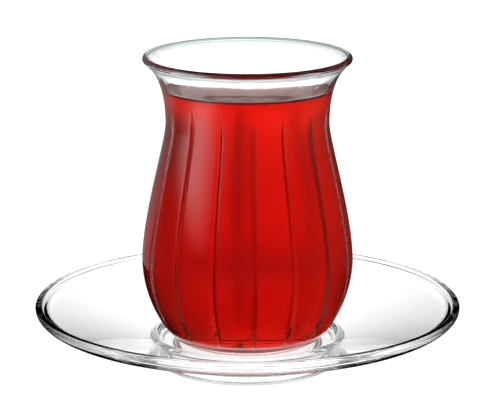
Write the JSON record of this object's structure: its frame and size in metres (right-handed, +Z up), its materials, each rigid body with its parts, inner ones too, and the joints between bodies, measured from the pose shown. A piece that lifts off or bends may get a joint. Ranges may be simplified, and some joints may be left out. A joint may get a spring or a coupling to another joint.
{
  "type": "tea glass with saucer",
  "caption": "Tulip-shaped glass with a narrow waist, a flared lip and fine upright grooves, filled with red tea and standing on a shallow round glass saucer.",
  "frame": {"origin": "on the table, under the centre of the saucer", "axes": "+Z up along the axis of the glass and the saucer, -Y towards the viewer of the picture"},
  "size_m": [0.127, 0.127, 0.0931],
  "materials": {
    "saucer_glass": "clear, polished",
    "cup_glass": "clear, polished",
    "tea": "clear red liquid, still surface"
  },
  "bodies": {
    "root": {"saucer": "saucer_glass", "glass": "cup_glass", "tea": "tea"}
  },
  "joints": []
}
